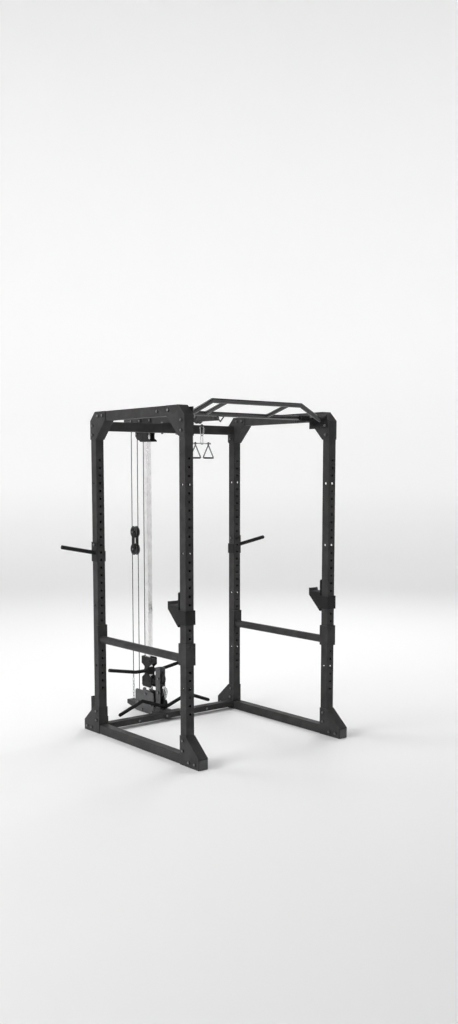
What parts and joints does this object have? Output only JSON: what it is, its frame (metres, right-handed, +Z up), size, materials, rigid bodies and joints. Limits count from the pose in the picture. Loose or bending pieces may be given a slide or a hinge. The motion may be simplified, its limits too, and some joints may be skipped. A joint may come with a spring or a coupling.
{
  "type": "power cage with pulley tower",
  "caption": "Free-standing power cage of drilled square tube with adjustable bar hooks and safety bars, a pull-up bar and a plate-loaded high and low pulley tower.",
  "frame": {"origin": "on the floor under the middle of the whole object", "axes": "+Z up, +X to the right seen from the front, +Y towards the pulley tower at the back"},
  "size_m": [1.7048, 1.658, 2.1651],
  "materials": {
    "charcoal_powder": "fine satin powder coat",
    "gloss_black": "gloss paint",
    "black_powder": "fine satin powder coat",
    "grey_powder": "fine satin powder coat",
    "cap_plastic": "moulded, matte",
    "dark_zinc": "dark zinc",
    "chrome_post": "polished",
    "chrome_links": "polished",
    "pulley_plastic": "moulded, matte",
    "cable_coat": "smooth plastic coat",
    "grip_rubber": "matte, fine knurl"
  },
  "bodies": {
    "frame": {"upright_front_left": "charcoal_powder", "upright_front_right": "charcoal_powder", "upright_rear_left": "charcoal_powder", "upright_rear_right": "charcoal_powder", "base_beam_left": "charcoal_powder", "base_beam_right": "charcoal_powder", "base_cross_beam": "charcoal_powder", "top_beam_left": "charcoal_powder", "top_beam_right": "charcoal_powder", "top_cross_beam": "charcoal_powder", "foot_brackets_front": "charcoal_powder", "foot_brackets_rear": "charcoal_powder", "corner_brackets_front": "charcoal_powder", "corner_brackets_rear": "charcoal_powder", "end_caps": "cap_plastic", "frame_bolts": "dark_zinc", "pull_up_front_bar": "gloss_black", "pull_up_rear_bar": "gloss_black", "plate_horn_left": "black_powder", "plate_horn_right": "black_powder", "bar_sleeve": "black_powder", "lat_beam": "charcoal_powder", "tower_base_beam": "charcoal_powder", "guide_post": "chrome_post", "post_gusset": "black_powder", "pulley_hanger": "black_powder", "base_pulley_bracket": "grey_powder", "row_pulley_housing": "grey_powder", "pulley_block": "black_powder", "high_cable_run": "cable_coat", "high_cable_drop": "cable_coat", "carriage_cable": "cable_coat", "low_cable": "cable_coat", "anchor_chain": "chrome_links", "low_carabiner": "chrome_links"},
    "carriage": {"carriage_frame": "black_powder", "plate_arms": "black_powder"},
    "high_links": {"handle_links": "chrome_links"},
    "left_handle": {"handle_left": "dark_zinc", "grip_left": "grip_rubber"},
    "right_handle": {"handle_right": "dark_zinc", "grip_right": "grip_rubber"},
    "curl_bar": {"row_bar": "black_powder"},
    "left_hook": {"j_hook_left": "black_powder"},
    "right_hook": {"j_hook_right": "black_powder"},
    "left_safety": {"safety_bar_left": "charcoal_powder"},
    "right_safety": {"safety_bar_right": "charcoal_powder"},
    "front_pulley_body": {"front_pulley": "pulley_plastic"},
    "rear_pulley_body": {"rear_pulley": "pulley_plastic"},
    "drop_pulley_body": {"drop_pulley": "pulley_plastic"},
    "block_upper_pulley_body": {"block_upper_pulley": "pulley_plastic"},
    "block_lower_pulley_body": {"block_lower_pulley": "pulley_plastic"},
    "base_rear_pulley_body": {"base_rear_pulley": "pulley_plastic"},
    "base_front_pulley_body": {"base_front_pulley": "pulley_plastic"},
    "row_lower_pulley_body": {"row_lower_pulley": "pulley_plastic"},
    "row_upper_pulley_body": {"row_upper_pulley": "pulley_plastic"},
    "roller_top_front_wheel": {"roller_top_front": "pulley_plastic"},
    "roller_top_rear_wheel": {"roller_top_rear": "pulley_plastic"},
    "roller_bottom_front_wheel": {"roller_bottom_front": "pulley_plastic"},
    "roller_bottom_rear_wheel": {"roller_bottom_rear": "pulley_plastic"}
  },
  "joints": [
    {"name": "carriage_lift", "type": "slide", "parent": "frame", "child": "carriage", "axis": [0, 0, 1], "range_m": [0, 1.1], "deforming": ["carriage_cable"]},
    {"name": "high_pull", "type": "slide", "parent": "frame", "child": "high_links", "axis": [0, 0, -1], "range_m": [0, 1.1], "deforming": ["high_cable_drop"]},
    {"name": "left_handle_swing", "type": "hinge", "parent": "high_links", "child": "left_handle", "pos_m": [-0.053, -0.067, 1.918], "axis": [1, 0, 0], "range_deg": [-60, 60]},
    {"name": "right_handle_swing", "type": "hinge", "parent": "high_links", "child": "right_handle", "pos_m": [0.053, -0.067, 1.918], "axis": [1, 0, 0], "range_deg": [-60, 60]},
    {"name": "row_bar_swivel", "type": "hinge", "parent": "frame", "child": "curl_bar", "pos_m": [0, 0.366, 0.11], "axis": [0, 0, 1], "range_deg": [-25, 25]},
    {"name": "front_pulley_spin", "type": "hinge", "parent": "frame", "child": "front_pulley_body", "pos_m": [0, -0.029, 2.09], "axis": [1, 0, 0], "continuous": true},
    {"name": "rear_pulley_spin", "type": "hinge", "parent": "frame", "child": "rear_pulley_body", "pos_m": [0, 0.733, 2.09], "axis": [1, 0, 0], "continuous": true},
    {"name": "drop_pulley_spin", "type": "hinge", "parent": "frame", "child": "drop_pulley_body", "pos_m": [0, 0.657, 2], "axis": [1, 0, 0], "continuous": true},
    {"name": "block_upper_pulley_spin", "type": "hinge", "parent": "frame", "child": "block_upper_pulley_body", "pos_m": [0, 0.734, 1.301], "axis": [1, 0, 0], "continuous": true},
    {"name": "roller_top_front_spin", "type": "hinge", "parent": "carriage", "child": "roller_top_front_wheel", "pos_m": [0, 0.52485, 0.385], "axis": [1, 0, 0], "continuous": true},
    {"name": "roller_top_rear_spin", "type": "hinge", "parent": "carriage", "child": "roller_top_rear_wheel", "pos_m": [0, 0.60315, 0.385], "axis": [1, 0, 0], "continuous": true},
    {"name": "roller_bottom_front_spin", "type": "hinge", "parent": "carriage", "child": "roller_bottom_front_wheel", "pos_m": [0, 0.52485, 0.236], "axis": [1, 0, 0], "continuous": true},
    {"name": "roller_bottom_rear_spin", "type": "hinge", "parent": "carriage", "child": "roller_bottom_rear_wheel", "pos_m": [0, 0.60315, 0.236], "axis": [1, 0, 0], "continuous": true},
    {"name": "base_rear_pulley_spin", "type": "hinge", "parent": "frame", "child": "base_rear_pulley_body", "pos_m": [0, 0.657, 0.07], "axis": [1, 0, 0], "continuous": true},
    {"name": "base_front_pulley_spin", "type": "hinge", "parent": "frame", "child": "base_front_pulley_body", "pos_m": [0, 0.498, 0.07], "axis": [1, 0, 0], "continuous": true},
    {"name": "row_lower_pulley_spin", "type": "hinge", "parent": "frame", "child": "row_lower_pulley_body", "pos_m": [0, 0.422, 0.173], "axis": [1, 0, 0], "continuous": true},
    {"name": "row_upper_pulley_spin", "type": "hinge", "parent": "frame", "child": "row_upper_pulley_body", "pos_m": [0, 0.422, 0.272], "axis": [1, 0, 0], "continuous": true},
    {"name": "block_lower_pulley_spin", "type": "hinge", "parent": "frame", "child": "block_lower_pulley_body", "pos_m": [0, 0.734, 1.177], "axis": [1, 0, 0], "continuous": true},
    {"name": "left_hook_height", "type": "slide", "parent": "frame", "child": "left_hook", "axis": [0, 0, 1], "range_m": [0, 0.9]},
    {"name": "left_safety_height", "type": "slide", "parent": "frame", "child": "left_safety", "axis": [0, 0, 1], "range_m": [-0.3, 0]},
    {"name": "right_hook_height", "type": "slide", "parent": "frame", "child": "right_hook", "axis": [0, 0, 1], "range_m": [0, 0.9]},
    {"name": "right_safety_height", "type": "slide", "parent": "frame", "child": "right_safety", "axis": [0, 0, 1], "range_m": [-0.3, 0]}
  ],
  "couplings": [
    {"joint": "high_pull", "follows": "carriage_lift", "ratio": 1},
    {"joint": "front_pulley_spin", "follows": "carriage_lift", "rad_per_m": 26.316},
    {"joint": "rear_pulley_spin", "follows": "carriage_lift", "rad_per_m": 26.316},
    {"joint": "drop_pulley_spin", "follows": "carriage_lift", "rad_per_m": -26.316},
    {"joint": "block_upper_pulley_spin", "follows": "carriage_lift", "rad_per_m": 26.316},
    {"joint": "roller_top_front_spin", "follows": "carriage_lift", "rad_per_m": -50},
    {"joint": "roller_top_rear_spin", "follows": "carriage_lift", "rad_per_m": 50},
    {"joint": "roller_bottom_front_spin", "follows": "carriage_lift", "rad_per_m": -50},
    {"joint": "roller_bottom_rear_spin", "follows": "carriage_lift", "rad_per_m": 50},
    {"joint": "base_front_pulley_spin", "follows": "base_rear_pulley_spin", "ratio": 1},
    {"joint": "row_lower_pulley_spin", "follows": "base_rear_pulley_spin", "ratio": -1},
    {"joint": "block_lower_pulley_spin", "follows": "base_rear_pulley_spin", "ratio": -0.5}
  ]
}
